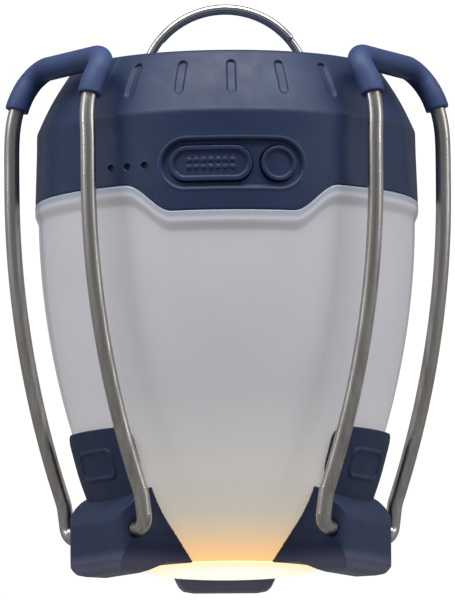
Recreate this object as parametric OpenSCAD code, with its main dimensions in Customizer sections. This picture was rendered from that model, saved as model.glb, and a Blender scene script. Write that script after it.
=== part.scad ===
// Camping lantern with three folding wire legs and a pair of folding wire hooks.
// Millimetres, +Z up, origin midway between the three brackets' feet, controls facing -Y.

/* [Head] */
// Height of the seam between globe and head above the feet
seam_z = 93.3; // [90:0.1:115]
// Height of the head from the seam to its top rim
head_h = 33.7; // [33.5:0.1:41]
// Height of the head's wall from the seam to the bevel
head_wall_h = 17.7; // [16:0.1:20]
// Radius of the head at the seam
head_r = 47.4; // [46:0.1:58]
// How much narrower the head is at the bevel than at the seam
head_draft = 0.5; // [0.2:0.1:1.2]
// How far the bevel leans in
head_bevel_in = 9; // [8:0.1:10]
// Thickness of the head's wall
head_wall = 2.4; // [1.8:0.1:2.8]
// Width of the head's top rim
rim_w = 2.1; // [1.8:0.1:3]
// Depth of the dish in the head's top
dish_depth = 9; // [8.6:0.1:9.5]
// Thickness of the dish
dish_wall = 1.8; // [1.4:0.1:2]
// Width of one grip slot in the bevel
slot_w = 2.3; // [1.5:0.1:3]
// Depth of one grip slot
slot_depth = 0.7; // [0.3:0.1:1.2]
// Angle from one grip slot to the next
slot_pitch = 17; // [12:0.5:18]

/* [Front skirt] */
// Depth of the skirt below the seam at the front
skirt_drop = 6.9; // [5:0.1:8]
// Half the width of the skirt's straight lower edge
skirt_half_w = 14.9; // [14.5:0.1:20]
// Width of the curve at each end of the skirt
skirt_curve_w = 11.4; // [6:0.1:12]
// Thickness of the skirt
skirt_wall = 1.4; // [1:0.1:1.6]

/* [Buttons] */
// Height of the buttons' centres above the seam
button_up = 4.5; // [4.5:0.1:8]
// Length of the recess around both buttons
pocket_l = 34.6; // [34:0.1:36]
// Height of the recess around both buttons
pocket_h = 11.7; // [11.2:0.1:13]
// Length of the power button
power_l = 20.3; // [16.5:0.1:20.5]
// Height of the power button
power_h = 8.6; // [7:0.1:8.8]
// Distance of the power button's centre from the middle, to the left
power_left = 5.35; // [5:0.05:5.5]
// Diameter of the mode button
mode_d = 8.6; // [7:0.1:8.8]
// Distance of the mode button's centre from the middle, to the right
mode_right = 11.3; // [10.8:0.1:11.4]
// Width of the raised rim of a button
button_rim = 1.1; // [0.8:0.1:1.6]
// Travel of a button
button_travel = 0.7; // [0.4:0.1:0.8]
// Diameter of one raised dot on the power button
dot_d = 1.1; // [0.8:0.1:1.3]
// Distance from one raised dot to the next
dot_pitch = 1.77; // [1.5:0.01:2]
// Diameter of one indicator hole
indicator_d = 1.6; // [1:0.1:2]
// Angle of the middle indicator hole from the front
indicator_angle = 32.8; // [31:0.1:34]
// Angle from one indicator hole to the next
indicator_pitch = 5.8; // [4.5:0.1:6]

/* [Globe] */
// Thickness of the globe's wall
globe_wall = 2; // [1.5:0.1:2.5]
// How far the globe stands back from the head's radius
globe_step = 0.8; // [0.5:0.1:1.2]
// Height of the thicker collar under the head
collar_h = 2.6; // [2:0.1:4]
// Radius of the globe's long side curve
side_curve_r = 190; // [170:1:220]
// Angle of the globe's side from upright, below the long curve
side_lean = 16; // [14:0.5:17]
// Radius of the globe's foot curve
foot_curve_r = 41; // [38:0.5:44]
// Angle of the globe's side from upright at its lower rim
rim_lean = 50; // [46:1:52]

/* [Lens] */
// Height of the bottom lens's lowest point above the feet
lens_up = 0.9; // [0.4:0.1:1.2]
// Depth of the bottom lens
lens_depth = 1.7; // [1.6:0.1:2.2]
// Thickness of the bottom lens
lens_wall = 1.3; // [1:0.1:1.4]

/* [Brackets] */
// Half the width of a bracket's block
bracket_half_w = 14.2; // [13:0.1:15]
// Half the width of a bracket's tongue
tongue_half_w = 13; // [12:0.1:13.8]
// Height of a tongue's top edge above the pivot
tongue_up = 25; // [22:0.1:28]
// Thickness of a tongue
tongue_t = 2.4; // [1.8:0.1:3]
// Height of the leg pivot above the feet
pivot_up = 10.2; // [9.4:0.1:10.6]
// Distance of a bracket's outer face from the pivot
block_out = 3.7; // [3.6:0.1:4.6]
// Width of the raised frame on a tongue
badge_w = 15; // [8:0.1:18]
// Height of the raised frame on a tongue
badge_h = 7.3; // [5:0.1:8]

/* [Legs] */
// Diameter of the leg wire
leg_d = 3.8; // [3:0.1:4.2]
// Half the distance between the two wires of a leg
leg_half_span = 18.25; // [17.8:0.05:20]
// Distance of the leg wire from the head's radius where it is widest
leg_out = 3.6; // [3.4:0.1:6]
// Angle of the leg from upright below its long curve
leg_lean = 20.5; // [19:0.5:21]
// Outer diameter of the rubber sleeve
sleeve_d = 5.9; // [5:0.1:6.2]
// Bend radius at the leg's top corners
corner_r = 5.5; // [4.5:0.1:6]
// Length of the leg's pivot pin in its bracket
pin_l = 5.5; // [4:0.1:6]

/* [Hooks] */
// Diameter of the hook wire
hook_d = 2.2; // [1.8:0.1:2.4]
// Radius of a hook's round centre line
hook_r = 20.8; // [18:0.1:21]
// Angle that a hook's round reaches
hook_sweep = 139; // [120:1:150]
// Distance between the two hooks' centre lines
hook_gap = 2.6; // [2.6:0.1:3.5]
// Bend radius at a hook's root
hook_root_r = 1.8; // [1.5:0.1:2]

/* [Charging port] */
// Angle of the charging port from the front
port_angle = 105; // [100:1:110]
// Width of the port cover
port_w = 14.6; // [13:0.1:16]
// Height of the port cover
port_h = 9.2; // [8:0.1:10]

/* [Batteries] */
// Diameter of one battery cell
cell_d = 18.4; // [18:0.1:18.6]
// Length of one battery cell
cell_l = 65; // [60:0.1:66]

/* [Fits] */
// Radial clearance of a pin in its running hole
run_fit = 0.05; // [0.02:0.01:0.1]
// Gap between parts that slide or fit loosely
loose_fit = 0.15; // [0.1:0.01:0.2]
// Gap between fixed parts that lie against each other
seat_gap = 0.05; // [0.02:0.01:0.1]

/* [Hidden] */
$fn = 72;

navy = "#2b3652";
navy_grip = "#3a4a73";
steel = "#8f8a84";
frosted = "#c4c4ca";

leg_angles = [210, -30, 90];

// Heights, from the foot up
lens_rim_z = lens_up + lens_depth;
globe_low_z = lens_rim_z + 0.3;
top_z = seam_z + head_h;
bevel_z = seam_z + head_wall_h;
floor_z = seam_z + 0.2;
floor_t = 2;
gasket_t = 1;
floor_top_z = floor_z + floor_t;
dish_z = top_z - dish_depth;
button_z = seam_z + button_up;

// Head radii
bevel_r = head_r - head_draft;
top_r = bevel_r - head_bevel_in;
head_in_r = head_r - head_wall;
bevel_in_r = bevel_r - head_wall;
mouth_r = top_r - rim_w;
bevel_slope = atan2(head_bevel_in, top_z - bevel_z);
ledge_z = top_z - 4.9;

// The globe's side: a long arc, a straight taper and a tight arc down to the rim
globe_r = head_r - globe_step;
side_top_z = seam_z - 2.5;
side_centre = [globe_r - side_curve_r, side_top_z];
foot_top_z = globe_low_z + foot_curve_r * (sin(rim_lean) - sin(side_lean));
side_end = side_centre + side_curve_r * [cos(side_lean), -sin(side_lean)];
taper_l = (side_end[1] - foot_top_z) / cos(side_lean);
foot_start = side_end - taper_l * [sin(side_lean), cos(side_lean)];
foot_centre = foot_start - foot_curve_r * [cos(side_lean), -sin(side_lean)];
globe_low_r = foot_centre[0] + foot_curve_r * cos(rim_lean);
globe_top_z = seam_z - 0.1;
gasket_z = floor_z - gasket_t;
ledge_in_r = globe_r - 4.4;

lens_r = globe_low_r - 0.6;

// The front skirt and the frame in it sit in bands of the head's round wall
skirt_in_r = head_r - skirt_wall;
button_face_r = head_r - 0.1;
frame_out_r = head_r - 1.1;
frame_in_r = head_r - 2.2;
flange_out_r = frame_in_r - 0.1;
flange_in_r = flange_out_r - 1;
flange_w = 0.6;
far = 80;

// The leg's path in its own plane: x outwards, y along the pivot, z up
pin_bend_r = 3;
pin_lean = 8;
pin_run = 4.2;
lower_bend_r = 10;
toe_in_r = 60;
toe_in = 5;
shoulder_r = 28;
shoulder_bend = 15;
neck_r = 20;
neck_bend = 19;
pivot_z = pivot_up;
leg_widest_z = top_z - 31.3;
leg_widest_s = head_r + leg_out;
leg_straight_top = 7.5;
leg_straight = 1.5;
pin_in = bracket_half_w - pin_l;
leg_curve_r = (leg_widest_z - pivot_z - (pin_bend_r + pin_run) * cos(pin_lean)
    - lower_bend_r * (sin(leg_lean) - sin(pin_lean)) - leg_straight * cos(leg_lean))
    / sin(leg_lean);
leg_reach = (pin_bend_r + pin_run) * sin(pin_lean)
    + lower_bend_r * (cos(pin_lean) - cos(leg_lean))
    + leg_straight * sin(leg_lean) + leg_curve_r * (1 - cos(leg_lean));
pivot_s = leg_widest_s - leg_reach;

OUT = [1, 0, 0];
IN = [-1, 0, 0];
MIDDLE = [0, -1, 0];
leg_start = [pivot_s, pin_in, pivot_z];
leg_lower = [
    [0, 0, leg_half_span - pin_bend_r - pin_in],
    [[sin(pin_lean), 0, cos(pin_lean)], pin_bend_r, 90],
    [0, 0, pin_run],
    [OUT, lower_bend_r, leg_lean - pin_lean],
    [0, 0, leg_straight],
    [IN, leg_curve_r, leg_lean],
    [0, 0, leg_straight_top],
    [MIDDLE, toe_in_r, toe_in],
    [IN, shoulder_r, shoulder_bend]
];
sleeve_start = end_point(leg_start, [0, 1, 0], leg_lower);
sleeve_dir = end_dir([0, 1, 0], leg_lower);
neck = [[IN, neck_r, neck_bend]];
neck_end = end_point(sleeve_start, sleeve_dir, neck);
neck_dir = end_dir(sleeve_dir, neck);
corner = [[MIDDLE, corner_r, acos(neck_dir * MIDDLE)]];
bar_start = end_point(neck_end, neck_dir, corner);
leg_upper = concat(neck, corner, [[0, 0, bar_start[1]]]);

// The hooks turn about the line of their straight roots
hook_pivot_z = dish_z + hook_d / 2 + 0.6;
hook_root_x = hook_r + hook_root_r;
hook_pin_l = 4.6;
block_l = 4.2;
block_r = 2.4;

joint_swell = 0.02;

cell_gap = 0.8;
cell_z = floor_top_z + 0.3 + cell_d / 2;
cell_y = cell_d / 2 + cell_gap / 2;
holder_t = 1.2;
contact_t = 1;

board_y = -(head_r - 12.5);
board_t = 1.6;
board_w = 38;
board_h = 9.6;

port_dir = port_angle - 90;
port_z = seam_z + 6.6;
port_axis_r = head_r - 1.5;
port_axis_z = port_z - port_h / 2 + 0.9;
port_pin_r = 0.5;
port_barrel_r = 0.9;
port_floor_r = head_r - 1.9;
port_face_r = head_r - 0.2;
socket_w = 9;
socket_h = 3.3;
socket_l = 5.4;

post_r = head_r - 8.8;
post_angles = [45, 135, 225, 315];
screw_r = 1.25;
screw_head_r = 2.6;
screw_head_t = 1.6;

bracket_screw_lean = 28;
bracket_screw_t = 3.6;

// Half of a block's cross-section: its flat foot, its lower corners and its side's draft
block_side = [
    [bracket_half_w - 6.2, 0], [bracket_half_w - 3.8, 0.5], [bracket_half_w - 2.6, 1.6],
    [bracket_half_w - 1.3, 4.3], [bracket_half_w - 0.4, 7.2],
    [bracket_half_w, 10], [bracket_half_w, 24]];

function unit(v) = v / norm(v);
function side(dir, hint) = unit(hint - (hint * dir) * dir);

// One step of a bent wire is [0, 0, length] for a straight or [towards, radius, angle] for a bend
function step_point(p, dir, s) =
    s[1] == 0 ? p + s[2] * dir
    : p + s[1] * ((1 - cos(s[2])) * side(dir, s[0]) + sin(s[2]) * dir);
function step_dir(dir, s) =
    s[1] == 0 ? dir : cos(s[2]) * dir + sin(s[2]) * side(dir, s[0]);
function end_point(p, dir, steps, i = 0) =
    i == len(steps) ? p
    : end_point(step_point(p, dir, steps[i]), step_dir(dir, steps[i]), steps, i + 1);
function end_dir(dir, steps, i = 0) =
    i == len(steps) ? dir : end_dir(step_dir(dir, steps[i]), steps, i + 1);

function arc(c, r, a0, a1, n) =
    [for (i = [0 : n]) c + r * [cos(a0 + (a1 - a0) * i / n), sin(a0 + (a1 - a0) * i / n)]];

// The globe's side from its lower rim to a height, moved inwards by inset
function globe_side(inset, high_z) = concat(
    arc(foot_centre, foot_curve_r - inset, -rim_lean, -side_lean, 8),
    arc(side_centre, side_curve_r - inset, -side_lean, -side_end_angle(high_z), 12),
    high_z > side_top_z ? [[globe_r - inset, high_z]] : []);
function side_end_angle(high_z) = asin(max(0, side_top_z - high_z) / side_curve_r);

// Half of the skirt's outline, lowered and widened by extra
function skirt_half(extra) = [
    for (i = [0 : 10]) [
        skirt_half_w + extra * 0.4 + skirt_curve_w * i / 10,
        seam_z - extra - skirt_drop * (1 + cos(180 * i / 10)) / 2]];

module frame_at(p, dir, across) {
    other = cross(dir, across);
    multmatrix([
        [across[0], other[0], dir[0], p[0]],
        [across[1], other[1], dir[1], p[1]],
        [across[2], other[2], dir[2], p[2]],
        [0, 0, 0, 1]])
        children();
}

// A ball a hair wider than the wire joins each stretch to the next
module bent_wire(p, dir, steps, r, i = 0) {
    if (i < len(steps)) {
        s = steps[i];
        hint = s[1] == 0 ? (abs(dir[2]) < 0.9 ? [0, 0, 1] : [1, 0, 0]) : s[0];
        frame_at(p, dir, side(dir, hint)) {
            if (s[1] == 0) {
                cylinder(r = r, h = s[2]);
            } else {
                translate([s[1], 0, 0])
                    rotate([90, 0, 180])
                    rotate_extrude(angle = s[2])
                    translate([s[1], 0]) circle(r = r);
            }
        }
        if (i < len(steps) - 1) translate(step_point(p, dir, s)) sphere(r = r + joint_swell);
        bent_wire(step_point(p, dir, s), step_dir(dir, s), steps, r, i + 1);
    }
}

module stadium(l, h) {
    square([l - h, h], center = true);
    for (x = [-1, 1]) translate([x * (l - h) / 2, 0]) circle(d = h);
}

module rounded_rect(w, h, r) {
    square([w - 2 * r, h], center = true);
    square([w, h - 2 * r], center = true);
    for (x = [-1, 1], y = [-1, 1])
        translate([x * (w / 2 - r), y * (h / 2 - r)]) circle(r = r);
}

// A flat outline in x and z, run out through the front wall
module through_front(x = 0, z = 0) {
    translate([x, 0, z]) rotate([90, 0, 0]) linear_extrude(far) children();
}

// A flat outline across and up, run outwards along x
module run_out(z = 0) {
    translate([0, 0, z]) rotate([90, 0, 90]) linear_extrude(far) children();
}

module ring(r_in, r_out, z_low, z_high) {
    rotate_extrude()
        translate([r_in, z_low]) square([r_out - r_in, z_high - z_low]);
}

module skirt_outline(extra = 0) {
    half = skirt_half(extra);
    edge = half[10][0];
    polygon(concat(
        half,
        [[edge, seam_z + 1], [-edge, seam_z + 1]],
        [for (i = [10 : -1 : 0]) [-half[i][0], half[i][1]]]));
}

module skirt_prism(extra = 0) {
    rotate([90, 0, 0]) linear_extrude(far) skirt_outline(extra);
}

module grip_slots() {
    slope_l = norm([head_bevel_in, top_z - bevel_z]);
    for (group = [0, 120, 240], k = [-2 : 2])
        rotate([0, 0, group + k * slot_pitch - 90])
            translate([bevel_r, 0, bevel_z])
            rotate([0, -bevel_slope, 0])
            translate([-slot_depth, 0, slope_l * 0.545])
            rotate([90, 0, 90]) linear_extrude(10)
            rotate(90) stadium(slope_l * 0.54, slot_w);
}

module indicator_bores(r, r_in, r_out) {
    for (k = [-1 : 1])
        rotate([0, 0, -90 - indicator_angle + k * indicator_pitch])
            translate([r_in, 0, button_z])
            rotate([0, 90, 0]) cylinder(r = r, h = r_out - r_in);
}

module port_place() {
    rotate([0, 0, port_dir]) children();
}

module port_rect(grow) {
    rounded_rect(port_w + 2 * grow, port_h + 2 * grow, 1.6 + grow);
}

module head_shell() {
    color(navy) {
        difference() {
            union() {
                difference() {
                    rotate_extrude() polygon([
                        [skirt_in_r, seam_z - skirt_drop],
                        [head_r, seam_z - skirt_drop],
                        [head_r, seam_z],
                        [bevel_r, bevel_z],
                        [top_r, top_z],
                        [mouth_r, top_z],
                        [mouth_r, ledge_z],
                        [bevel_in_r - (ledge_z - bevel_z) * tan(bevel_slope), ledge_z],
                        [bevel_in_r, bevel_z],
                        [head_in_r, seam_z],
                        [skirt_in_r, seam_z]]);
                    difference() {
                        ring(head_in_r - 5, head_r + 5, seam_z - skirt_drop - 1, seam_z);
                        skirt_prism();
                    }
                }
                for (a = post_angles) rotate([0, 0, a]) {
                    translate([post_r, 0, floor_top_z + seat_gap]) cylinder(r = 3, h = 8);
                    translate([post_r, -1.2, floor_top_z + seat_gap])
                        cube([head_in_r + 0.8 - post_r, 2.4, 8]);
                }
                port_place() intersection() {
                    ring(head_in_r - 2.6, head_in_r + 0.8, seam_z + 2.4, bevel_z - 2);
                    translate([0, -port_w / 2 - 2, seam_z]) cube([far, port_w + 4, 20]);
                }
            }
            grip_slots();
            through_front(0, button_z) stadium(pocket_l, pocket_h);
            indicator_bores(indicator_d / 2, head_in_r - 2, head_r + 2);
            for (a = post_angles) rotate([0, 0, a])
                translate([post_r, 0, floor_top_z - 1]) cylinder(r = screw_r, h = 7.4);
            port_place() {
                difference() {
                    run_out(port_z) port_rect(loose_fit);
                    cylinder(r = port_floor_r, h = far * 2);
                }
                translate([0, -port_w / 2 - loose_fit, port_axis_z - 1.5])
                    translate([port_axis_r - 0.2, 0, 0]) cube([5, port_w + 2 * loose_fit, 2]);
                translate([port_axis_r, -port_w / 2 - loose_fit, port_axis_z])
                    rotate([-90, 0, 0]) cylinder(r = 1.2, h = port_w + 2 * loose_fit);
                translate([port_axis_r, -port_w / 2 - 1.2, port_axis_z])
                    rotate([-90, 0, 0]) cylinder(r = port_pin_r, h = port_w + 2.4);
                translate([0, -socket_w / 2 - seat_gap, port_z + 1 - socket_h / 2 - seat_gap])
                    cube([far, socket_w + 2 * seat_gap, socket_h + 2 * seat_gap]);
            }
        }
    }
}

module top_dish() {
    flange_z = ledge_z - seat_gap;
    out_r = mouth_r - loose_fit;
    in_r = out_r - dish_wall;
    color(navy) difference() {
        rotate_extrude() polygon([
            [0, dish_z - dish_wall],
            [out_r, dish_z - dish_wall],
            [out_r, flange_z - 1.2],
            [out_r + 1.2, flange_z - 1.2],
            [out_r + 1.2, flange_z],
            [out_r, flange_z],
            [out_r, top_z - 0.5],
            [in_r, top_z - 0.5],
            [in_r - 0.6, dish_z],
            [0, dish_z]]);
        for (x = [-1, 1], y = [-1, 1]) hook_block_place(x)
            translate([x * block_l / 2, y * 2.6, dish_z - 5]) cylinder(r = 0.9, h = 10);
    }
}

module head_floor() {
    color("#d8d8d8") difference() {
        ring(0, head_in_r - 0.2, floor_z, floor_top_z);
        for (a = post_angles) rotate([0, 0, a])
            translate([post_r, 0, floor_z - 1]) cylinder(r = screw_r + loose_fit, h = 5);
        translate([-pocket_l / 2 - 0.8, -far, floor_z - 1])
            cube([pocket_l + 1.6, far - head_r + 6.9, 5]);
        translate([0, 0, floor_z - 1]) cylinder(r = 2, h = 5);
    }
}

module head_screws() {
    color("#b0b0b0")
        for (a = post_angles) rotate([0, 0, a]) translate([post_r, 0, 0]) difference() {
            union() {
                translate([0, 0, floor_z - seat_gap]) cylinder(r = screw_r - 0.02, h = 7);
                translate([0, 0, floor_z - seat_gap - screw_head_t])
                    cylinder(r = screw_head_r, h = screw_head_t);
            }
            translate([0, 0, floor_z - screw_head_t - 1]) cylinder(r = 1.2, h = 1.9, $fn = 6);
        }
}

module seal_ring() {
    color("#303030")
        ring(ledge_in_r + 0.1, ledge_in_r + 1, gasket_z + seat_gap, floor_z - seat_gap);
}

module globe() {
    high = globe_top_z;
    color(frosted, 0.9) difference() {
        union() {
            rotate_extrude() polygon(concat(
                globe_side(0, seam_z - collar_h - 2.9),
                [[head_r + 0.1, seam_z - collar_h], [head_r + 0.1, high], [globe_r - globe_wall, high]],
                [for (i = [len(globe_side(0, high)) - 2 : -1 : 0]) globe_side(globe_wall, high)[i]]));
            intersection() {
                ring(globe_r - globe_wall / 2, head_r + 0.1, seam_z - 20, high);
                skirt_prism(collar_h);
            }
            ring(ledge_in_r, globe_r - globe_wall + 0.5, gasket_z - 2, gasket_z);
        }
        intersection() {
            ring(skirt_in_r - 0.1, head_r + 5, seam_z - skirt_drop - 1, high + 1);
            skirt_prism(0.1);
        }
        translate([-pocket_l / 2 - 0.8, -far, button_z - pocket_h / 2 - 0.4])
            cube([pocket_l + 1.6, far - head_r + 6.9, 10]);
        bracket_screw_places() cylinder(r = screw_r + loose_fit, h = foot_curve_r + 5);
    }
}

module bottom_lens() {
    rim_in = globe_low_r - 4.2;
    color("#f6f2e6") difference() {
        union() {
            rotate_extrude() intersection() {
                translate([0, lens_up - 1]) square([lens_r + 1, lens_depth + 1]);
                translate([0, lens_rim_z]) polygon(concat([[0, 0]],
                    [for (i = [0 : 16])
                        [lens_r * sin(90 * i / 16), -lens_depth * cos(90 * i / 16)]]));
            }
            ring(rim_in, lens_r, lens_rim_z - 0.2, globe_low_z - seat_gap);
            ring(rim_in, globe_low_r - 2.2, lens_rim_z, globe_low_z + 1.4);
        }
        rotate_extrude() translate([0, lens_rim_z]) polygon(concat([[0, 0]],
            [for (i = [0 : 16]) [
                (lens_r - lens_wall * 2) * sin(90 * i / 16),
                -(lens_depth - lens_wall) * cos(90 * i / 16)]]));
    }
}

// The six bracket screws run square to the globe's foot curve
module bracket_screw_places(angles = leg_angles) {
    for (a = angles, t = [-1, 1])
        rotate([0, 0, a])
            translate([foot_centre[0], t * bracket_screw_t, foot_centre[1]])
            rotate([0, 90 + bracket_screw_lean, 0])
            children();
}

module bracket_block() {
    intersection() {
        rotate([90, 0, 0]) linear_extrude(4 * bracket_half_w, center = true)
            translate([pivot_s, 0]) polygon([
                [-22, 2.7], [-10, 2.5], [-4.6, 0], [1.2, 0], [2.6, 0.8],
                [block_out - 0.1, 3], [block_out, pivot_up + 2.3],
                [block_out - 0.6, pivot_up + 4.4], [0.6, pivot_up + 7.2],
                [-1.1, pivot_up + 8.8], [-3, pivot_up + 9.9],
                [-5, pivot_up + 10.8], [-22, pivot_up + 12.4]]);
        run_out() polygon(concat(
            block_side,
            [for (i = [len(block_side) - 1 : -1 : 0]) [-block_side[i][0], block_side[i][1]]]));
        translate([0, 0, -1]) linear_extrude(30)
            translate([pivot_s + block_out - 15, 0])
            rounded_rect(30, 2 * bracket_half_w, 4);
    }
}

// A tongue's outline narrows to a waist above its block
module tongue_outline(top, low) {
    waist_z = top - 17;
    corner = 3;
    for (m = [0, 1]) mirror([m, 0]) polygon(concat(
        [[-1, low], [tongue_half_w - 1, low]],
        [for (i = [0 : 6])
            [tongue_half_w - 0.9 * (1 + cos(180 * i / 6)), waist_z + 9 * i / 6]],
        arc([tongue_half_w - corner, top - corner], corner, 0, 90, 6),
        [[-1, top]]));
}

module tongue_band(inset, r_more) {
    intersection() {
        rotate_extrude() polygon(concat(
            [[0, globe_low_z]], globe_side(-inset - r_more, top_z - 40), [[0, top_z - 40]]));
        run_out() children();
    }
}

module bracket() {
    top = pivot_z + tongue_up;
    low = pivot_z - 4;
    middle_z = top - 8.6;
    difference() {
        union() {
            bracket_block();
            tongue_band(seat_gap, tongue_t)
                tongue_outline(top, low);
            tongue_band(seat_gap, tongue_t + 0.4) translate([0, middle_z]) difference() {
                rounded_rect(badge_w, badge_h, 2.2);
                rounded_rect(badge_w - 1.6, badge_h - 1.6, 1.4);
            }
        }
        rotate_extrude() polygon(concat(
            [[0, globe_low_z]], globe_side(-seat_gap, top_z), [[0, top_z]]));
        translate([0, 0, -5]) cylinder(r = lens_r + 0.7, h = globe_low_z + 5.2);
        for (t = [-1, 1]) {
            translate([pivot_s, t * (bracket_half_w - pin_l / 2 - 0.2), pivot_z])
                rotate([90, 0, 0])
                cylinder(r = leg_d / 2 + run_fit, h = pin_l + 0.6, center = true);
            translate([pivot_s, t * bracket_half_w, pivot_z])
                rotate([90, 0, 0]) cylinder(r = leg_d / 2 + 0.7, h = 1.2, center = true);
        }
        bracket_screw_places([0])
            translate([0, 0, foot_curve_r - 1]) cylinder(r = screw_r, h = 7.6);
    }
}

module bracket_left() { color(navy) rotate([0, 0, leg_angles[0]]) bracket(); }
module bracket_right() { color(navy) rotate([0, 0, leg_angles[1]]) bracket(); }
module bracket_rear() { color(navy) rotate([0, 0, leg_angles[2]]) bracket(); }

module bracket_screws() {
    seat = foot_curve_r - globe_wall - 1;
    color("#b0b0b0") bracket_screw_places() difference() {
        union() {
            translate([0, 0, seat]) cylinder(r = screw_r - 0.02, h = 8);
            translate([0, 0, seat - screw_head_t]) cylinder(r = screw_head_r, h = screw_head_t);
        }
        translate([0, 0, seat - screw_head_t - 1]) cylinder(r = 1.2, h = 1.9, $fn = 6);
    }
}

module leg() {
    for (m = [0, 1]) mirror([0, m, 0])
        bent_wire(leg_start, [0, 1, 0], concat(leg_lower, leg_upper), leg_d / 2);
}

module sleeve() {
    difference() {
        for (m = [0, 1]) mirror([0, m, 0])
            bent_wire(sleeve_start, sleeve_dir, leg_upper, sleeve_d / 2);
        for (m = [0, 1]) mirror([0, m, 0])
            bent_wire(sleeve_start, sleeve_dir, leg_upper, leg_d / 2 + 0.02);
    }
}

module leg_left() { color(steel) rotate([0, 0, leg_angles[0]]) leg(); }
module leg_right() { color(steel) rotate([0, 0, leg_angles[1]]) leg(); }
module leg_rear() { color(steel) rotate([0, 0, leg_angles[2]]) leg(); }
module sleeve_left() { color(navy_grip) rotate([0, 0, leg_angles[0]]) sleeve(); }
module sleeve_right() { color(navy_grip) rotate([0, 0, leg_angles[1]]) sleeve(); }
module sleeve_rear() { color(navy_grip) rotate([0, 0, leg_angles[2]]) sleeve(); }

module hook() {
    start = [-hook_root_x - hook_pin_l, -hook_gap / 2, hook_pivot_z];
    steps = [
        [0, 0, hook_pin_l],
        [[0, 0, 1], hook_root_r, 90],
        [[1, 0, 0], hook_r, hook_sweep]];
    bent_wire(start, [1, 0, 0], steps, hook_d / 2);
    translate(end_point(start, [1, 0, 0], steps)) sphere(r = hook_d / 2);
}

module hook_front() { color("#c8c8c8") hook(); }
module hook_rear() { color("#c8c8c8") rotate([0, 0, 180]) hook(); }

module hook_block_place(x) {
    translate([x * (hook_root_x + 0.4), x * hook_gap / 2, 0]) children();
}

module hook_block(x) {
    foot_z = dish_z + seat_gap;
    color(navy) hook_block_place(x) translate([x * block_l / 2, 0, 0]) difference() {
        union() {
            translate([-block_l / 2, -4, foot_z]) cube([block_l, 8, hook_pivot_z - foot_z]);
            difference() {
                translate([-block_l / 2, 0, hook_pivot_z]) rotate([0, 90, 0])
                    cylinder(r = block_r, h = block_l);
                translate([-block_l, -8, foot_z - 10]) cube([2 * block_l, 16, 10]);
            }
            for (y = [-1, 1]) translate([0, y * 2.6, dish_z - dish_wall])
                cylinder(r = 0.85, h = dish_wall + 0.5);
        }
        translate([-block_l, 0, hook_pivot_z]) rotate([0, 90, 0])
            cylinder(r = hook_d / 2 + run_fit, h = 2 * block_l);
    }
}

module hook_block_left() { hook_block(-1); }
module hook_block_right() { hook_block(1); }

module button_frame() {
    color(navy) difference() {
        intersection() {
            ring(frame_in_r, frame_out_r, seam_z - 5, bevel_z);
            through_front(0, button_z) stadium(pocket_l - 0.2, pocket_h - 0.2);
        }
        through_front(-power_left, button_z) stadium(power_l + 2 * loose_fit, power_h + 2 * loose_fit);
        through_front(mode_right, button_z) circle(d = mode_d + 2 * loose_fit);
    }
}

// A button: its key, its flange behind the frame, and the dish in its face
module key_body(x) {
    difference() {
        intersection() {
            ring(flange_in_r, button_face_r, seam_z - 5, bevel_z);
            through_front(x, button_z) children(0);
        }
        intersection() {
            ring(button_face_r - 0.6, head_r + 2, seam_z - 5, bevel_z);
            through_front(x, button_z) children(1);
        }
    }
    intersection() {
        ring(flange_in_r, flange_out_r, seam_z - 5, bevel_z);
        through_front(x, button_z) children(2);
    }
}

module power_button() {
    color(navy) {
        key_body(-power_left) {
            stadium(power_l, power_h);
            stadium(power_l - 2 * button_rim, power_h - 2 * button_rim);
            stadium(power_l + 2 * flange_w, power_h + 2 * flange_w);
        }
        for (i = [-3 : 3], k = [-0.5, 0.5]) intersection() {
            ring(button_face_r - 1, button_face_r - 0.2, seam_z - 5, bevel_z);
            through_front(-power_left + i * dot_pitch, button_z + k * dot_pitch)
                circle(d = dot_d, $fn = 24);
        }
    }
}

module mode_button() {
    color(navy) key_body(mode_right) {
        circle(d = mode_d);
        circle(d = mode_d - 2 * button_rim + 0.3);
        circle(d = mode_d + 2 * flange_w);
    }
}

module indicator_lights() {
    color("#202634") indicator_bores(indicator_d / 2 - 0.03, head_in_r - 0.6, head_r - 0.7);
}

module control_board() {
    color("#1f5a3a") translate([-board_w / 2, board_y, floor_top_z + 0.3])
        cube([board_w, board_t, board_h]);
}

module tact_switches() {
    body_t = 1.8;
    body_w = 4.4;
    gap = 0.25;
    color("#303030")
        for (x = [-power_left, mode_right]) translate([x, board_y - seat_gap, button_z]) {
            face = -sqrt(pow(flange_in_r, 2) - x * x) + button_travel + gap + 0.4;
            translate([-body_w / 2, -body_t, -body_w / 2]) cube([body_w, body_t, body_w]);
            rotate([90, 0, 0]) cylinder(r = 1.6, h = board_y - seat_gap - face);
        }
}

module battery(y) {
    color("#3f7d5a") translate([-cell_l / 2, y, cell_z]) rotate([0, 90, 0]) {
        cylinder(d = cell_d, h = cell_l - 1);
        cylinder(r = 3, h = cell_l);
    }
}

module battery_left() { battery(-cell_y); }
module battery_right() { battery(cell_y); }

module battery_holder() {
    out_x = cell_l / 2 + contact_t + holder_t + 0.3;
    out_y = cell_y + cell_d / 2 + 0.2 + holder_t;
    color("#26282c") translate([0, 0, floor_top_z + seat_gap]) difference() {
        translate([-out_x, -out_y, 0]) cube([2 * out_x, 2 * out_y, 9]);
        translate([-out_x + holder_t, -out_y + holder_t, -1])
            cube([2 * (out_x - holder_t), 2 * (out_y - holder_t), 20]);
    }
}

module battery_contacts() {
    x = cell_l / 2 + 0.15;
    color("#c9b27a") for (sx = [-1, 1], sy = [-1, 1])
        translate([sx * (x + contact_t / 2), sy * cell_y, cell_z]) {
            cube([contact_t, 11, 11], center = true);
        }
}

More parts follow.
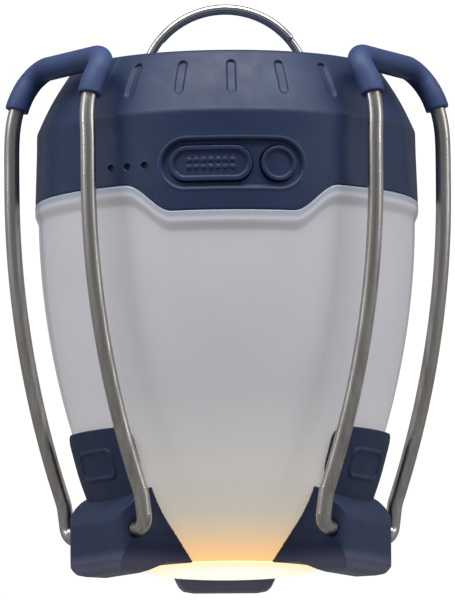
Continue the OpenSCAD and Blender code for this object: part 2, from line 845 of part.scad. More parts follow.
module usb_socket() {
    deep = head_in_r - 1.8;
    color("#b8b8bc") port_place() difference() {
        translate([deep - socket_l, -socket_w / 2, port_z + 1 - socket_h / 2])
            cube([socket_l + 0.5, socket_w, socket_h]);
        translate([deep - socket_l + 1, -socket_w / 2 + 0.35, port_z + 1 - socket_h / 2 + 0.35])
            cube([socket_l + 5, socket_w - 0.7, socket_h - 0.7]);
    }
}

module port_cover() {
    color(navy_grip) port_place() difference() {
        union() {
            intersection() {
                ring(port_floor_r + 0.1, port_face_r, seam_z, bevel_z);
                run_out(port_z) intersection() {
                    port_rect(0);
                    translate([-port_w, port_axis_z - port_z]) square([2 * port_w, port_h]);
                }
            }
            translate([port_axis_r, -port_w / 2 + 0.8, port_axis_z])
                rotate([-90, 0, 0]) cylinder(r = port_barrel_r, h = port_w - 1.6);
        }
        translate([port_axis_r, -port_w, port_axis_z])
            rotate([-90, 0, 0]) cylinder(r = port_pin_r + run_fit, h = 2 * port_w);
    }
}

module port_pin() {
    color("#b0b0b0") port_place() translate([port_axis_r, -port_w / 2 - 1, port_axis_z])
        rotate([-90, 0, 0]) cylinder(r = port_pin_r, h = port_w + 2);
}

module led_board() {
    color("#d0d0d0") ring(0, 16, floor_z - 1.6 - seat_gap, floor_z - seat_gap);
}

module led_emitter() {
    color("#f4d67a") ring(0, 5, floor_z - 2.4 - seat_gap, floor_z - 1.6 - seat_gap);
}

module led_optic() {
    base = floor_z - 1.7 - seat_gap;
    color("#eeeeee", 0.6) difference() {
        intersection() {
            translate([0, 0, base]) sphere(r = 9);
            translate([0, 0, base - 7]) cylinder(r = 10, h = 7);
        }
        translate([0, 0, base - 1.2]) cylinder(r = 5.3, h = 5);
    }
}

head_shell();
top_dish();
head_floor();
head_screws();
seal_ring();
globe();
bottom_lens();
bracket_left();
bracket_right();
bracket_rear();
bracket_screws();
leg_left();
leg_right();
leg_rear();
sleeve_left();
sleeve_right();
sleeve_rear();
hook_front();
hook_rear();
hook_block_left();
hook_block_right();
button_frame();
power_button();
mode_button();
indicator_lights();
control_board();
tact_switches();
battery_left();
battery_right();
battery_holder();
battery_contacts();
usb_socket();
port_cover();
port_pin();
led_board();
led_emitter();
led_optic();
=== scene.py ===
"""Looks of the camping lantern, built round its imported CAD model. Metres, +Z up, controls facing -Y."""

import math

import bpy
import numpy as np
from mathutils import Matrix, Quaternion, Vector


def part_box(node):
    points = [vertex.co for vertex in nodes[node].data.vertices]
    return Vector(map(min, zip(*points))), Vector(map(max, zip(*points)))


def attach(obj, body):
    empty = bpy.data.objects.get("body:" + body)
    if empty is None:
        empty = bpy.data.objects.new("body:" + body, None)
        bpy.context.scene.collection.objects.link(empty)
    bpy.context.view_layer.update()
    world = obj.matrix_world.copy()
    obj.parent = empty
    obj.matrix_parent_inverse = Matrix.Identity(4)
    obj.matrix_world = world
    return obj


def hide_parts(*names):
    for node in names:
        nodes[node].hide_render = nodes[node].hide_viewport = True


MM = 0.001

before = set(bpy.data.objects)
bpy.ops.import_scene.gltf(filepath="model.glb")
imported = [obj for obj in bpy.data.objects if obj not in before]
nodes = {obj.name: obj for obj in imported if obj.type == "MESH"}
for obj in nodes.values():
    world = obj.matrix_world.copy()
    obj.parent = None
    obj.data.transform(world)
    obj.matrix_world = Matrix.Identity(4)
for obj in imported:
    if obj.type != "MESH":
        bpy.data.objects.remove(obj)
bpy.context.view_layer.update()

# Sizes that the frame gives
head_low, head_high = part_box("head_shell")
TOP_Z = head_high.z
HEAD_R = (head_high.x - head_low.x) / 2
SKIRT_LOW_Z = head_low.z
SEAM_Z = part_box("globe")[1].z + 0.1 * MM
GLOBE_LOW_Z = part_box("globe")[0].z
key_low, key_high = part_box("power_button")
BUTTON_Z = (key_low.z + key_high.z) / 2

# The camera: far off, with a lens that takes in 148.5 mm of height at the axis
CAMERA_FAR = 2.5
SENSOR_MM = 36
SEEN_HEIGHT = 0.6 / 4.04
LENS_MM = SENSOR_MM * CAMERA_FAR / SEEN_HEIGHT
AIM_Z = 0.0697

# Sizes of the head, as in the CAD source; the bevel bulges by a hair and its edges are rounded
BEVEL_Z = SEAM_Z + 17.7 * MM
BEVEL_R = HEAD_R - 0.5 * MM
TOP_R = BEVEL_R - 9.0 * MM
BEVEL_BULGE = 0.55 * MM
SHOULDER_ROUND = 3 * MM
RIM_ROUND = 1.8 * MM
LIP_ROUND = 0.5 * MM
RIM_W = 2.1 * MM
LEDGE_DROP = 4.9 * MM
SKIN = 0.9 * MM
EDGE_ROUND = 0.35 * MM
SKIRT_DROP = SEAM_Z - SKIRT_LOW_Z
SKIRT_HALF_W = 14.9 * MM
SKIRT_CURVE_W = 11.4 * MM
SKIRT_WALL = 1.4 * MM
POCKET = (34.6 * MM, 11.7 * MM)
POCKET_DEPTH = 1.0 * MM
POWER_X = -5.35 * MM
POWER = (20.3 * MM, 8.6 * MM)
MODE_X = 11.3 * MM
MODE_D = 8.6 * MM
KEY_GAP = 0.2 * MM
KEY_WELL = 2.0 * MM
INDICATOR_ANGLES = (27.0, 32.8, 38.6)
INDICATOR_D = 1.6 * MM
INDICATOR_DEPTH = 1.6 * MM
SLOT_W = 2.3 * MM
SLOT_DEPTH = 0.7 * MM
SLOT_PITCH = 17
SLOT_GROUPS = (0, 120, 240)
PORT_ANGLE = 105
PORT_Z = SEAM_Z + 6.6 * MM
PORT = (14.9 * MM, 9.5 * MM)
PORT_DEPTH = 1.75 * MM
SKIRT_ROWS = 40

# Nodes that share a material and an amount of edge rounding
BRACKETS = ["bracket_left", "bracket_right", "bracket_rear"]
SLEEVES = ["sleeve_left", "sleeve_right", "sleeve_rear"]
KEYS = ["power_button", "mode_button"]
HOOK_BLOCKS = ["hook_block_left", "hook_block_right"]

# Sizes of the globe
GLOBE_R = HEAD_R - 0.8 * MM
GLOBE_WALL = 2 * MM
COLLAR_H = 2.6 * MM
COLLAR_OUT = 0.85 * MM
COLLAR_ROWS = 56
SIDE_CURVE_R = 190 * MM
SIDE_LEAN = math.radians(16)
FOOT_CURVE_R = 41 * MM
RIM_LEAN = math.radians(50)


def smooth(x, low, high):
    """0 below low, 1 above high, and a smooth step between them."""
    t = np.clip((x - low) / (high - low), 0, 1)
    return t * t * (3 - 2 * t)


def mesh_object(name, verts, faces, body):
    """A smooth-shaded mesh that rides on a body."""
    mesh = bpy.data.meshes.new(name)
    mesh.from_pydata([tuple(v) for v in verts], [], [tuple(f) for f in faces])
    mesh.validate()
    mesh.polygons.foreach_set("use_smooth", [True] * len(mesh.polygons))
    made = bpy.data.objects.new(name, mesh)
    bpy.context.scene.collection.objects.link(made)
    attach(made, body)
    return made


def lathe_faces(rows, columns, closed_profile):
    """Quads of a grid that closes round its axis, and along its profile too if asked."""
    last = rows if closed_profile else rows - 1
    i, j = np.meshgrid(np.arange(last), np.arange(columns), indexing="ij")
    up, on = (i + 1) % rows, (j + 1) % columns
    corners = [i * columns + j, i * columns + on, up * columns + on, up * columns + j]
    return np.stack(corners, -1).reshape(-1, 4)


def arc(cx, cz, r, a0, a1, n):
    """Points (radius, height) of an arc; the angles are from outwards, towards up."""
    a = np.linspace(a0, a1, n + 1)
    return np.stack([cx + r * np.cos(a), cz + r * np.sin(a)], -1)


def run(p, q, step):
    """Points from p to q, q left out."""
    n = max(1, int(round(math.dist(p, q) / step)))
    t = np.arange(n)[:, None] / n
    return np.array(p) * (1 - t) + np.array(q) * t


def stadium_distance(u, v, length, height):
    """Distance from a stadium's outline: below 0 inside it."""
    reach = (length - height) / 2
    return np.hypot(np.maximum(np.abs(u) - reach, 0), v) - height / 2


def box_distance(u, v, width, height, corner):
    """Distance from a rounded rectangle's outline: below 0 inside it."""
    du = np.abs(u) - width / 2 + corner
    dv = np.abs(v) - height / 2 + corner
    return np.hypot(np.maximum(du, 0), np.maximum(dv, 0)) + np.minimum(np.maximum(du, dv), 0) - corner


def skirt_edge(angle, extra=0.0):
    """Height of the skirt's lower edge at an angle from the front, lowered and widened by extra."""
    x = np.abs(HEAD_R * np.sin(angle))
    t = np.clip((x - SKIRT_HALF_W - 0.4 * extra) / SKIRT_CURVE_W, 0, 1)
    front = np.cos(angle) > 0
    drop = np.where(front, SKIRT_DROP * (1 + np.cos(np.pi * t)) / 2, 0)
    return SEAM_Z - extra - drop


def fine_angles(front_half, front_step, back_step):
    """Angles from the front, closer together across the controls."""
    front = np.arange(-front_half, front_half, front_step)
    n = int((2 * math.pi - 2 * front_half) / back_step)
    back = front_half + (2 * math.pi - 2 * front_half) * np.arange(n) / n
    return np.concatenate([front, back])


def head():
    """The head's wall, bevel and rim, with the skirt, slots, recess, indicator holes and port pocket."""
    slope = math.atan2(TOP_R - BEVEL_R, TOP_Z - BEVEL_Z)
    low = (HEAD_R - 0.1 * MM, SEAM_Z + 3 * MM)
    above_controls = (HEAD_R - 0.43 * MM, SEAM_Z + 12.5 * MM)
    wall_top = BEVEL_Z - SHOULDER_ROUND * math.tan(-slope / 2)
    corner = arc(BEVEL_R - SHOULDER_ROUND, wall_top, SHOULDER_ROUND, 0, -slope, 8)
    top_reach = RIM_ROUND * math.tan((math.pi / 2 + slope) / 2)
    rim = arc(TOP_R - top_reach, TOP_Z - RIM_ROUND, RIM_ROUND, -slope, math.pi / 2, 7)
    inner_r = TOP_R - RIM_W
    lip = arc(inner_r + LIP_ROUND, TOP_Z - LIP_ROUND, LIP_ROUND, math.pi / 2, math.pi, 4)
    ledge = (inner_r, TOP_Z - LEDGE_DROP)
    bevel = run(tuple(corner[-1]), tuple(rim[0]), 0.3 * MM)[1:]
    bevel[:, 0] += BEVEL_BULGE * np.sin(np.pi * np.arange(1, len(bevel) + 1) / (len(bevel) + 1))
    fixed = np.concatenate([
        run(low, above_controls, 0.16 * MM),
        run(above_controls, tuple(corner[0]), 0.5 * MM),
        corner, bevel, rim, lip,
        run(tuple(lip[-1]), ledge, 1.2 * MM)[1:],
        [ledge, (inner_r + 2 * MM, ledge[1] - 0.1 * MM)],
    ])
    angle = fine_angles(math.radians(42), 0.17 * MM / HEAD_R, 0.38 * MM / HEAD_R)
    n = len(angle)
    edge_z = skirt_edge(angle)
    rows = [
        (np.full(n, HEAD_R - SKIRT_WALL), edge_z + 1 * MM),
        (np.full(n, HEAD_R - SKIRT_WALL), edge_z),
        (np.full(n, HEAD_R - EDGE_ROUND), edge_z),
        (np.full(n, HEAD_R - 0.3 * EDGE_ROUND), edge_z + 0.3 * EDGE_ROUND),
    ]
    for t in np.arange(SKIRT_ROWS) / SKIRT_ROWS:
        z = edge_z + EDGE_ROUND + (low[1] - edge_z - EDGE_ROUND) * t
        rows.append((np.interp(z, (SEAM_Z, low[1]), (HEAD_R, low[0])), z))
    for r, z in fixed:
        rows.append((np.full(n, r), np.full(n, z)))
    radius = np.array([r for r, z in rows])
    height = np.array([z for r, z in rows])
    theta = np.broadcast_to(angle, radius.shape)
    outside = radius > TOP_R + 0.3 * MM
    x = HEAD_R * np.sin(theta)
    front = np.cos(theta) > 0.3
    inward = np.zeros_like(radius)

    pocket = stadium_distance(x, height - BUTTON_Z, *POCKET)
    power = stadium_distance(x - POWER_X, height - BUTTON_Z, *POWER) - KEY_GAP
    mode = np.hypot(x - MODE_X, height - BUTTON_Z) - MODE_D / 2 - KEY_GAP
    recess = POCKET_DEPTH * smooth(-pocket, -0.15 * MM, 0.45 * MM)
    recess -= 0.12 * MM * smooth(-np.abs(pocket - 0.55 * MM), -0.5 * MM, 0)
    well = KEY_WELL * smooth(-np.minimum(power, mode), -0.1 * MM, 0.15 * MM)
    inward += np.where(front, recess + well, 0)

    for degrees in INDICATOR_ANGLES:
        across = HEAD_R * (theta + math.radians(degrees))
        across = np.where(across < math.pi * HEAD_R, across, across - 2 * math.pi * HEAD_R)
        hole = np.hypot(across, height - BUTTON_Z) - INDICATOR_D / 2
        inward += np.where(hole < 1 * MM, INDICATOR_DEPTH * smooth(-hole, -0.12 * MM, 0.18 * MM), 0)
        inward -= 0.06 * MM * smooth(-np.abs(hole - 0.3 * MM), -0.3 * MM, 0)

    slope_l = math.hypot(BEVEL_R - TOP_R, TOP_Z - BEVEL_Z)
    along = (height - BEVEL_Z) / math.cos(slope) - 0.545 * slope_l
    for group in SLOT_GROUPS:
        for k in range(-2, 3):
            turn = (theta - math.radians(group + k * SLOT_PITCH) + math.pi) % (2 * math.pi) - math.pi
            slot = stadium_distance(along, turn * radius, 0.54 * slope_l, SLOT_W)
            inward += np.where(height > BEVEL_Z, SLOT_DEPTH * smooth(-slot, -0.2 * MM, 0.35 * MM), 0)

    turn = (theta - math.radians(PORT_ANGLE) + math.pi) % (2 * math.pi) - math.pi
    port = box_distance(turn * HEAD_R, height - PORT_Z, *PORT, 1.7 * MM)
    inward += np.where(np.abs(turn) < 0.5, PORT_DEPTH * smooth(-port, -0.1 * MM, 0.2 * MM), 0)

    radius = np.where(outside, radius - inward, radius)
    verts = np.stack([radius * np.sin(theta), -radius * np.cos(theta), height], -1).reshape(-1, 3)
    made = mesh_object("head_skin", verts, lathe_faces(len(rows), n, False), "housing")
    thick = made.modifiers.new("wall", "SOLIDIFY")
    thick.thickness = SKIN
    thick.offset = -1
    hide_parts("head_shell", "button_frame")
    return made


def globe_side(inset, n_foot, n_side):
    """The globe's side from its lower rim up to the collar, as (radius, height)."""
    side_top = SEAM_Z - 2.5 * MM
    centre = np.array([GLOBE_R - SIDE_CURVE_R, side_top])
    foot_top = GLOBE_LOW_Z + FOOT_CURVE_R * (math.sin(RIM_LEAN) - math.sin(SIDE_LEAN))
    end = centre + SIDE_CURVE_R * np.array([math.cos(SIDE_LEAN), -math.sin(SIDE_LEAN)])
    taper = (end[1] - foot_top) / math.cos(SIDE_LEAN)
    start = end - taper * np.array([math.sin(SIDE_LEAN), math.cos(SIDE_LEAN)])
    foot = start - FOOT_CURVE_R * np.array([math.cos(SIDE_LEAN), -math.sin(SIDE_LEAN)])
    low = arc(foot[0], foot[1], FOOT_CURVE_R - inset, -RIM_LEAN, -SIDE_LEAN, n_foot)
    high = arc(centre[0], centre[1], SIDE_CURVE_R - inset, -SIDE_LEAN, 0, n_side)
    middle = run(tuple(low[-1]), tuple(high[0]), 1.5 * MM)[1:]
    return np.concatenate([low, middle, high])


def globe():
    """The frosted globe: a closed shell whose collar follows the skirt's edge."""
    columns = 480
    angle = 2 * math.pi * np.arange(columns) / columns
    edge = skirt_edge(angle)
    profile = globe_side(0, 24, 60)
    rows = [(np.full(columns, r), np.full(columns, z)) for r, z in profile if z < SEAM_Z - 14 * MM]
    low_z = rows[-1][1]
    for t in np.arange(1, COLLAR_ROWS + 1) / COLLAR_ROWS:
        z = low_z + (edge - 0.25 * MM - low_z) * t
        wall = np.interp(z, profile[:, 1], profile[:, 0], right=GLOBE_R)
        collar = COLLAR_OUT * (1 - smooth(edge - z, COLLAR_H - 0.3 * MM, COLLAR_H + 2.6 * MM))
        rows.append((wall + collar, z))
    behind_skirt, tongue_z = HEAD_R - 1.55 * MM, edge + 1.2 * MM
    rows += [
        (np.full(columns, HEAD_R - 0.2 * MM), edge - 0.06 * MM),
        (np.full(columns, behind_skirt), edge - 0.03 * MM),
        (np.full(columns, behind_skirt), tongue_z),
        (np.full(columns, GLOBE_R - GLOBE_WALL), tongue_z),
    ]
    for r, z in globe_side(GLOBE_WALL, 10, 24)[::-1]:
        rows.append((np.full(columns, r), np.minimum(np.full(columns, z), edge)))
    radius = np.array([r for r, z in rows])
    height = np.array([z for r, z in rows])
    theta = np.broadcast_to(angle, radius.shape)
    verts = np.stack([radius * np.sin(theta), -radius * np.cos(theta), height], -1).reshape(-1, 3)
    made = mesh_object("globe_skin", verts, lathe_faces(len(rows), columns, True), "housing")
    below = made.data.attributes.new("below_seam", "FLOAT", "POINT")
    below.data.foreach_set("value", ((edge[None, :] - height) / MM).astype(np.float32).ravel())
    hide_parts("globe")
    return made


# Materials

def rgb(r, g, b):
    """A colour from its 0-255 screen values."""
    def linear(c):
        c /= 255
        return c / 12.92 if c <= 0.04045 else ((c + 0.055) / 1.055) ** 2.4
    return (linear(r), linear(g), linear(b), 1)


class Nodes:
    """A short way to build one material's nodes."""

    def __init__(self, name):
        self.material = bpy.data.materials.new(name)
        self.material.use_nodes = True
        self.tree = self.material.node_tree
        self.shader = self.tree.nodes["Principled BSDF"]
        self.output = self.tree.nodes["Material Output"]
        coordinates = self.add("ShaderNodeTexCoord")
        self.place = coordinates.outputs["Object"]

    def add(self, kind, **settings):
        made = self.tree.nodes.new(kind)
        for key, value in settings.items():
            setattr(made, key, value)
        return made

    def link(self, a, b):
        self.tree.links.new(a, b)

    def set(self, **values):
        for key, value in values.items():
            self.shader.inputs[key.replace("_", " ")].default_value = value

    def noise(self, scale, detail=3, rough=0.5, stretch=None):
        made = self.add("ShaderNodeTexNoise")
        made.inputs["Scale"].default_value = scale
        made.inputs["Detail"].default_value = detail
        made.inputs["Roughness"].default_value = rough
        place = self.place
        if stretch:
            mapping = self.add("ShaderNodeMapping")
            mapping.inputs["Scale"].default_value = stretch
            self.link(place, mapping.inputs["Vector"])
            place = mapping.outputs["Vector"]
        self.link(place, made.inputs["Vector"])
        return made.outputs["Fac"]

    def ramp(self, value, *stops, mode="LINEAR"):
        made = self.add("ShaderNodeValToRGB")
        made.color_ramp.interpolation = mode
        elements = made.color_ramp.elements
        while len(elements) < len(stops):
            elements.new(0.5)
        for element, (at, colour) in zip(elements, stops):
            element.position = at
            element.color = colour if len(colour) == 4 else (*colour, 1)
        self.link(value, made.inputs["Fac"])
        return made.outputs["Color"]

    def grey(self, value, low, high, a=0.3, b=0.7):
        return self.ramp(value, (a, (low,) * 3), (b, (high,) * 3))

    def bump(self, height, strength, distance, normal=None):
        made = self.add("ShaderNodeBump")
        made.inputs["Strength"].default_value = strength
        made.inputs["Distance"].default_value = distance
        self.link(height, made.inputs["Height"])
        if normal:
            self.link(normal, made.inputs["Normal"])
        return made.outputs["Normal"]

    def mix(self, factor, a, b, blend="MIX"):
        made = self.add("ShaderNodeMix", data_type="RGBA", blend_type=blend)
        for socket, value in ((made.inputs[0], factor), (made.inputs[6], a), (made.inputs[7], b)):
            if isinstance(value, (float, int, tuple)):
                socket.default_value = value
            else:
                self.link(value, socket)
        return made.outputs[2]

    def map(self, value, low, high, to_low=0.0, to_high=1.0):
        made = self.add("ShaderNodeMapRange", interpolation_type="SMOOTHSTEP")
        for key, number in (("From Min", low), ("From Max", high), ("To Min", to_low), ("To Max", to_high)):
            made.inputs[key].default_value = number
        self.link(value, made.inputs["Value"])
        return made.outputs["Result"]


def moulded(name, colour, light, rough=0.5, grain=1500, bump=0.12, rubbed=0.0, painted_foot_light=0.0):
    """Moulded plastic or rubber: fine grain, a soft mottle, rubbed edges, and painted light at the foot: a
    lilac-grey tint low down.
    """
    m = Nodes(name)
    mottle = m.noise(90, 4)
    tint = m.mix(m.grey(mottle, 0.0, 1.0), colour, light)
    worn = m.add("ShaderNodeNewGeometry").outputs["Pointiness"]
    edge = m.map(worn, 0.53, 0.62, 0.0, rubbed)
    pale = tuple(min(1, c * 2.4 + 0.02) for c in light[:3]) + (1,)
    height = m.add("ShaderNodeSeparateXYZ")
    m.link(m.place, height.inputs[0])
    # Painted light: the lowest few millimetres are tinted lilac-grey, standing in for the lens glow that
    # lights the brackets' feet from below.
    foot = m.map(height.outputs["Z"], 0.001, 0.006, painted_foot_light, 0.0)
    m.link(m.mix(foot, m.mix(edge, tint, pale), rgb(138, 136, 160)), m.shader.inputs["Base Color"])
    m.link(m.grey(m.noise(300, 2), rough - 0.05, rough + 0.06), m.shader.inputs["Roughness"])
    m.link(m.bump(m.noise(grain, 4), bump, 0.0002), m.shader.inputs["Normal"])
    m.set(Specular_IOR_Level=0.32)
    return m.material


def drawn_wire(name, colour, dark, rough, streak, bump, along):
    """Drawn stainless wire: fine lengthwise streaks and a slightly stained tone."""
    m = Nodes(name)
    fine = m.noise(900, 3, 0.6, (1, 1, along))
    stain = m.noise(120, 4, 0.6, (1, 1, 0.25))
    tint = m.mix(m.grey(fine, 0.0, 1.0), dark, colour)
    m.link(m.mix(m.grey(stain, 0.0, streak), tint, dark), m.shader.inputs["Base Color"])
    m.link(m.grey(fine, rough + 0.12, rough - 0.06), m.shader.inputs["Roughness"])
    m.link(m.bump(fine, bump, 0.0001), m.shader.inputs["Normal"])
    m.set(Metallic=1.0)
    return m.material


def frosted_plastic():
    """The globe's frosted wall, lit from inside towards its foot."""
    m = Nodes("frosted_globe")
    height = m.add("ShaderNodeSeparateXYZ")
    m.link(m.place, height.inputs[0])
    z = height.outputs["Z"]
    cloud = m.noise(45, 3)
    base = m.mix(m.grey(cloud, 0.0, 1.0), rgb(188, 188, 194), rgb(194, 193, 198))
    # Painted light: the base colour turns warm towards the foot, standing in for the glow inside falling on
    # the wall.
    painted_glow_base = m.mix(m.map(z, 0.010, 0.040), rgb(196, 190, 178), base)
    # Painted shade: a blue-grey band just under the seam, standing in for the head's skirt darkening the
    # lit wall from behind.
    seam = m.add("ShaderNodeAttribute", attribute_name="below_seam")
    skirt_shade_band = m.map(seam.outputs["Fac"], 1.0, 2.2, 0.75, 0.0)
    m.link(m.mix(skirt_shade_band, painted_glow_base, rgb(128, 145, 165)), m.shader.inputs["Base Color"])
    m.link(m.bump(m.noise(2500, 2), 0.05, 0.0001), m.shader.inputs["Normal"])
    m.link(m.grey(m.noise(200, 2), 0.42, 0.5), m.shader.inputs["Roughness"])
    span = m.add("ShaderNodeMapRange")
    span.inputs["From Max"].default_value = 0.1
    m.link(z, span.inputs["Value"])
    glow = m.ramp(
        span.outputs["Result"],
        (0.03, (0.85, 0.50, 0.12)), (0.057, (0.76, 0.42, 0.17)), (0.091, (0.54, 0.38, 0.22)),
        (0.136, (0.38, 0.33, 0.27)), (0.21, (0.28, 0.265, 0.25)), (0.45, (0.16, 0.16, 0.165)),
        (0.93, (0.07, 0.07, 0.078)))
    m.link(glow, m.shader.inputs["Emission Color"])
    m.set(Emission_Strength=1.0)
    return m.material


def glowing_lens():
    """The lit lens: white in its middle and warmer towards its rim."""
    m = Nodes("clear_lens")
    cloud = m.noise(80, 2)
    tint = m.mix(m.grey(cloud, 0.0, 1.0), rgb(250, 246, 236), rgb(246, 240, 226))
    m.link(tint, m.shader.inputs["Base Color"])
    m.link(m.bump(m.noise(1800, 2), 0.05, 0.0001), m.shader.inputs["Normal"])
    m.link(m.grey(cloud, 0.25, 0.35), m.shader.inputs["Roughness"])
    place = m.add("ShaderNodeSeparateXYZ")
    m.link(m.place, place.inputs[0])
    rise = m.map(place.outputs["Z"], 0.0004, 0.0024)
    glow = m.ramp(rise, (0.0, rgb(255, 250, 240)), (1.0, rgb(255, 226, 178)))
    m.link(glow, m.shader.inputs["Emission Color"])
    m.set(Emission_Strength=0.85)
    return m.material


def metal(name, colour, rough):
    """Plated or bare metal with a faint mottle."""
    m = Nodes(name)
    darker = tuple(c * 0.8 for c in colour[:3]) + (1,)
    m.link(m.mix(m.grey(m.noise(400, 3), 0.0, 1.0), colour, darker), m.shader.inputs["Base Color"])
    m.link(m.grey(m.noise(900, 3), rough - 0.06, rough + 0.1), m.shader.inputs["Roughness"])
    m.link(m.bump(m.noise(1500, 3), 0.1, 0.0001), m.shader.inputs["Normal"])
    m.set(Metallic=1.0)
    return m.material


def wear(obj, material):
    """Puts one material on every slot of an object."""
    if not obj.material_slots:
        obj.data.materials.append(material)
    for place in obj.material_slots:
        place.link = "OBJECT"
        place.material = material


def soften(node, voxel, passes):
    """Rounds a CAD node's edges as moulding does, without changing its mesh."""
    obj = nodes[node]
    remesh = obj.modifiers.new("even", "REMESH")
    remesh.mode = "VOXEL"
    remesh.voxel_size = voxel
    remesh.use_smooth_shade = True
    relax = obj.modifiers.new("round", "SMOOTH")
    relax.factor = 0.5
    relax.iterations = passes


def dress():
    navy = moulded("navy_shell", rgb(30, 44, 74), rgb(35, 50, 82), 0.46, rubbed=0.2)
    # The brackets carry the painted lilac-grey light at their feet.
    navy_parts = moulded("navy_parts", rgb(33, 45, 74), rgb(38, 51, 82), 0.5, painted_foot_light=0.5)
    grip = moulded("navy_rubber", rgb(43, 59, 98), rgb(50, 67, 108), 0.52, grain=1100, bump=0.1)
    keys = moulded("button_rubber", rgb(33, 45, 76), rgb(39, 52, 85), 0.42)
    white = moulded("inner_plastic", rgb(205, 205, 203), rgb(220, 220, 218), 0.5)
    dark = moulded("dark_plastic", rgb(34, 36, 40), rgb(44, 46, 50), 0.5)
    gasket = moulded("gasket_rubber", rgb(28, 28, 30), rgb(38, 38, 40), 0.6)
    board = moulded("circuit_board", rgb(24, 84, 52), rgb(32, 98, 62), 0.35)
    wrap = moulded("cell_wrap", rgb(52, 120, 84), rgb(60, 132, 94), 0.3)
    pipes = moulded("indicator", rgb(4, 5, 9), rgb(6, 7, 12), 0.6)
    optic = moulded("optic", rgb(224, 226, 230), rgb(236, 238, 240), 0.15)
    phosphor = moulded("emitter", rgb(240, 206, 96), rgb(246, 216, 116), 0.5)
    wire = drawn_wire("steel_wire", (0.64, 0.615, 0.59, 1), (0.34, 0.315, 0.29, 1), 0.27, 0.6, 0.25, 0.06)
    hook = drawn_wire("hook_wire", (0.74, 0.73, 0.71, 1), (0.56, 0.55, 0.53, 1), 0.16, 0.15, 0.04, 1)
    zinc = metal("zinc_screws", (0.62, 0.62, 0.6, 1), 0.3)
    brass = metal("contact_metal", (0.68, 0.6, 0.42, 1), 0.28)
    plate = metal("board_metal", (0.72, 0.72, 0.73, 1), 0.32)
    looks = {
        navy_parts: BRACKETS + HOOK_BLOCKS + ["top_dish"],
        grip: SLEEVES + ["port_cover"],
        keys: KEYS,
        white: ["head_floor"],
        dark: ["tact_switches", "battery_holder"],
        gasket: ["seal_ring"],
        board: ["control_board"],
        wrap: ["battery_left", "battery_right"],
        pipes: ["indicator_lights"],
        optic: ["led_optic"],
        phosphor: ["led_emitter"],
        wire: ["leg_left", "leg_right", "leg_rear"],
        hook: ["hook_front", "hook_rear"],
        zinc: ["head_screws", "bracket_screws", "port_pin"],
        brass: ["battery_contacts", "usb_socket"],
        plate: ["led_board"],
        glowing_lens(): ["bottom_lens"],
    }
    for material, names in looks.items():
        for name in names:
            wear(nodes[name], material)
    wear(head_skin, navy)
    wear(globe_skin, frosted_plastic())


def studio():
    """Plain pale floor, a surround that is brighter to the sides, and three soft lights."""
    bpy.ops.mesh.primitive_plane_add(size=6, location=(0, 0, -0.2 * MM))
    floor = bpy.context.object
    floor.name = "floor"
    floor.data.materials.append(backdrop("floor", 0.3))

    world = bpy.data.worlds.new("surround")
    bpy.context.scene.world = world
    world.use_nodes = True
    tree = world.node_tree
    seen = tree.nodes.new("ShaderNodeLightPath")
    light = tree.nodes["Background"]
    light.inputs["Color"].default_value = (0.93, 0.96, 1, 1)
    light.inputs["Strength"].default_value = 0.3
    white = tree.nodes.new("ShaderNodeBackground")
    white.inputs["Color"].default_value = (1, 1, 1, 1)
    white.inputs["Strength"].default_value = 1.05
    mix = tree.nodes.new("ShaderNodeMixShader")
    way = tree.nodes.new("ShaderNodeTexCoord")
    sides = tree.nodes.new("ShaderNodeSeparateXYZ")
    tree.links.new(way.outputs["Generated"], sides.inputs[0])
    across = tree.nodes.new("ShaderNodeMath")
    across.operation = "ABSOLUTE"
    tree.links.new(sides.outputs["X"], across.inputs[0])
    swing = tree.nodes.new("ShaderNodeMapRange")
    swing.interpolation_type = "SMOOTHSTEP"
    for key, number in (("From Min", 0.2), ("From Max", 0.9), ("To Min", 0.2), ("To Max", 0.48)):
        swing.inputs[key].default_value = number
    tree.links.new(across.outputs[0], swing.inputs["Value"])
    tree.links.new(swing.outputs["Result"], light.inputs["Strength"])
    tree.links.new(seen.outputs["Is Camera Ray"], mix.inputs["Fac"])
    tree.links.new(light.outputs[0], mix.inputs[1])
    tree.links.new(white.outputs[0], mix.inputs[2])
    tree.links.new(mix.outputs[0], tree.nodes["World Output"].inputs["Surface"])

    softbox("top_light", (0.0, -0.3, 0.8), (1.0, 0.45), 10.0)
    softbox("left_light", (-0.75, -0.25, 0.5), (0.3, 0.6), 1.6)
    softbox("right_light", (0.75, -0.25, 0.45), (0.3, 0.6), 1.6)
    bpy.context.scene.view_settings.view_transform = "Standard"


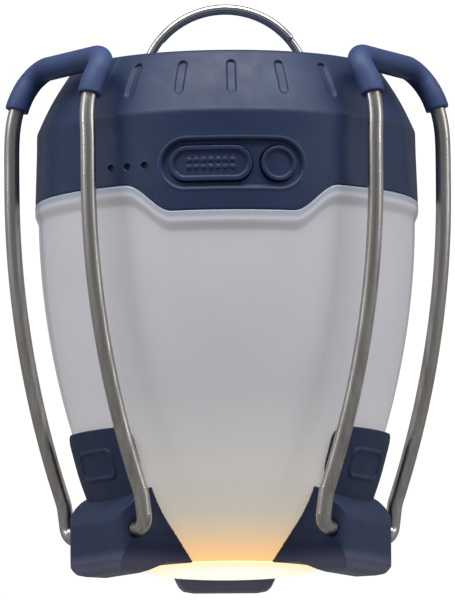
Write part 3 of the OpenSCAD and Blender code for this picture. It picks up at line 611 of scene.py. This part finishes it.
def backdrop(name, strength):
    """A white surface: as seen it is white, and on the part it throws soft light of the given strength."""
    m = Nodes(name)
    seen = m.add("ShaderNodeLightPath")
    lit = m.add("ShaderNodeEmission")
    lit.inputs["Strength"].default_value = strength
    white = m.add("ShaderNodeEmission")
    white.inputs["Strength"].default_value = 1.05
    mix = m.add("ShaderNodeMixShader")
    m.link(seen.outputs["Is Camera Ray"], mix.inputs["Fac"])
    m.link(lit.outputs[0], mix.inputs[1])
    m.link(white.outputs[0], mix.inputs[2])
    clear = m.add("ShaderNodeBsdfTransparent")
    under = m.add("ShaderNodeNewGeometry")
    sides = m.add("ShaderNodeMixShader")
    m.link(under.outputs["Backfacing"], sides.inputs["Fac"])
    m.link(mix.outputs[0], sides.inputs[1])
    m.link(clear.outputs[0], sides.inputs[2])
    m.link(sides.outputs[0], m.output.inputs["Surface"])
    return m.material


def softbox(name, place, size, power):
    """A rectangular area light that faces the lantern."""
    light = bpy.data.lights.new(name, "AREA")
    light.shape = "RECTANGLE"
    light.size, light.size_y = size
    light.energy = power
    lamp = bpy.data.objects.new(name, light)
    lamp.location = place
    lamp.rotation_mode = "QUATERNION"
    lamp.rotation_quaternion = (Vector((0, 0, 0.07)) - lamp.location).to_track_quat("-Z", "Y")
    bpy.context.scene.collection.objects.link(lamp)


def camera():
    """The view that the lantern is shown from: from far off with a long lens, a little from below."""
    data = bpy.data.cameras.new("camera")
    data.sensor_width = SENSOR_MM
    data.lens = LENS_MM
    data.clip_end = 10
    made = bpy.data.objects.new("camera", data)
    turn, rise, roll = math.radians(-1.9), math.radians(-6.7), math.radians(-0.5)
    aim = Vector((0.0, 0.0, AIM_Z))
    back = Vector((math.sin(turn) * math.cos(rise), -math.cos(turn) * math.cos(rise), math.sin(rise)))
    made.location = aim + CAMERA_FAR * back
    made.rotation_mode = "QUATERNION"
    made.rotation_quaternion = back.to_track_quat("Z", "Y") @ Quaternion((0, 0, 1), roll)
    bpy.context.scene.collection.objects.link(made)
    bpy.context.scene.camera = made


camera()
studio()
head_skin = head()
globe_skin = globe()
for names, voxel, passes in (
        (BRACKETS, 0.18, 12), (SLEEVES, 0.3, 4), (KEYS, 0.16, 3),
        (HOOK_BLOCKS + ["port_cover"], 0.2, 3), (["top_dish"], 0.5, 3)):
    for name in names:
        soften(name, voxel * MM, passes)
dress()
